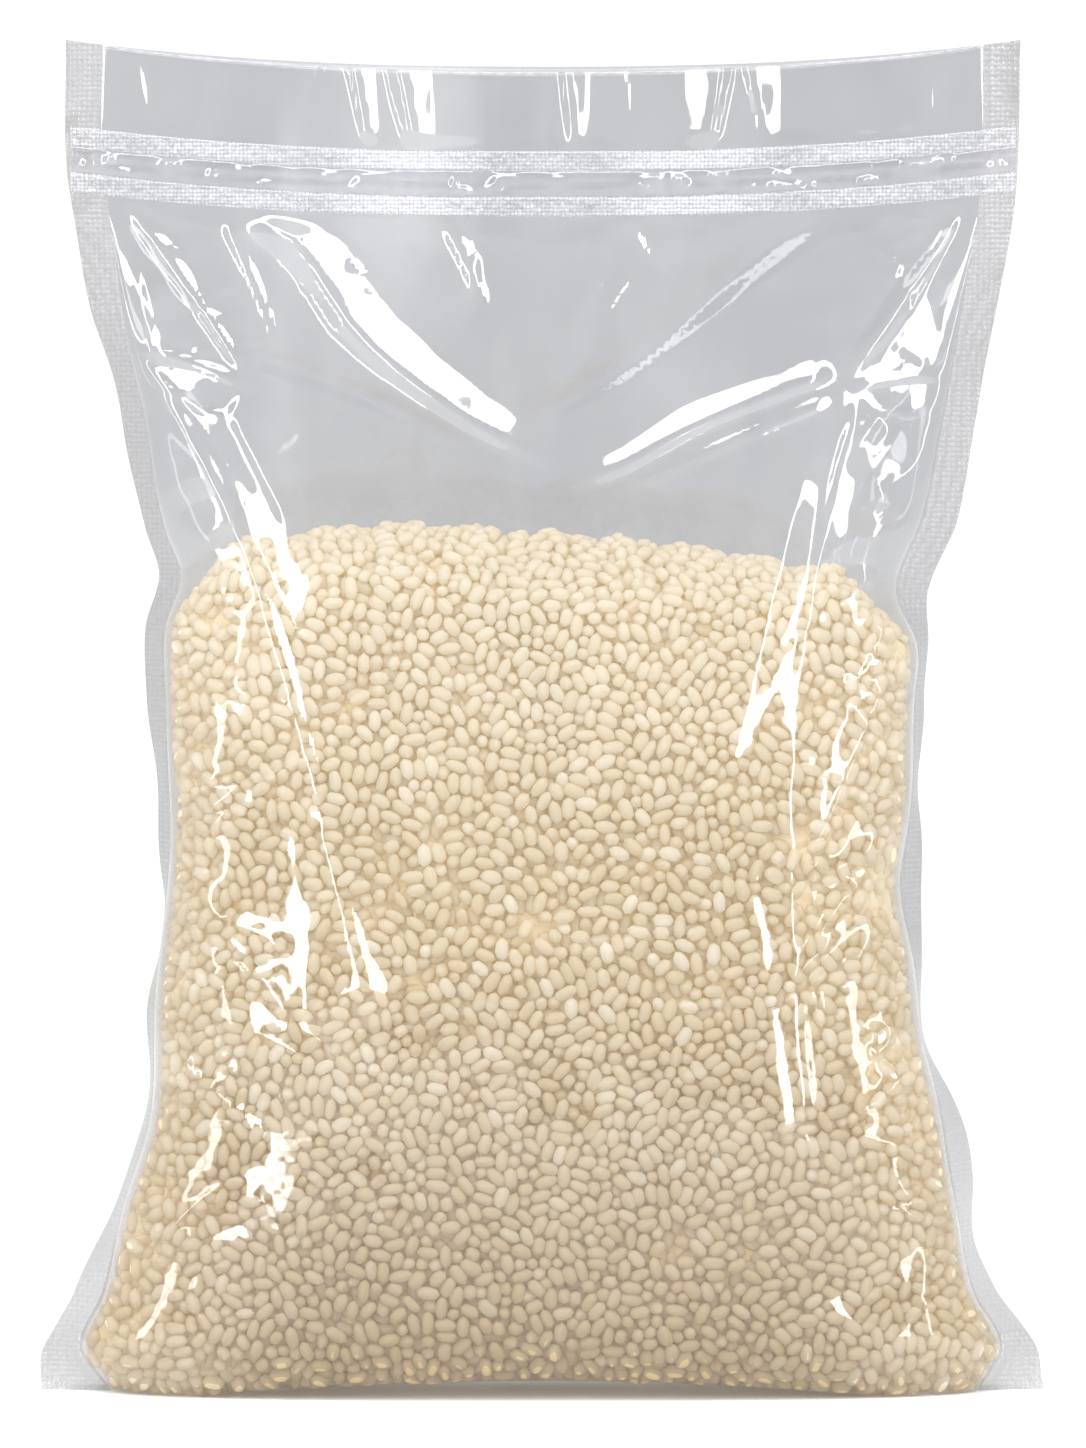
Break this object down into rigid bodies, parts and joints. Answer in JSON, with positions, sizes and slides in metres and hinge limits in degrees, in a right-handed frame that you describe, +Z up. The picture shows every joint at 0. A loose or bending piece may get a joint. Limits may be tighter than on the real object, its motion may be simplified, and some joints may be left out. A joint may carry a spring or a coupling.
{
  "type": "bag of rice",
  "caption": "Clear zip pouch with welded side seals and open lips, standing on its base, filled with pale short-grain rice to two thirds of its height.",
  "frame": {"origin": "on the floor under the middle of the pouch's base", "axes": "+Z up along the pouch's height, the pouch's front faces -Y, +X to the right seen from the front"},
  "size_m": [0.2095, 0.0582, 0.2798],
  "materials": {
    "rice": "pale cream milled short grains with a faint polish",
    "film": "clear glossy plastic film, slightly grey, creased",
    "zip": "embossed translucent press-to-close strip"
  },
  "bodies": {
    "root": {"rice": "rice", "pouch": "film", "zip_front": "zip", "zip_back": "zip"}
  },
  "joints": []
}
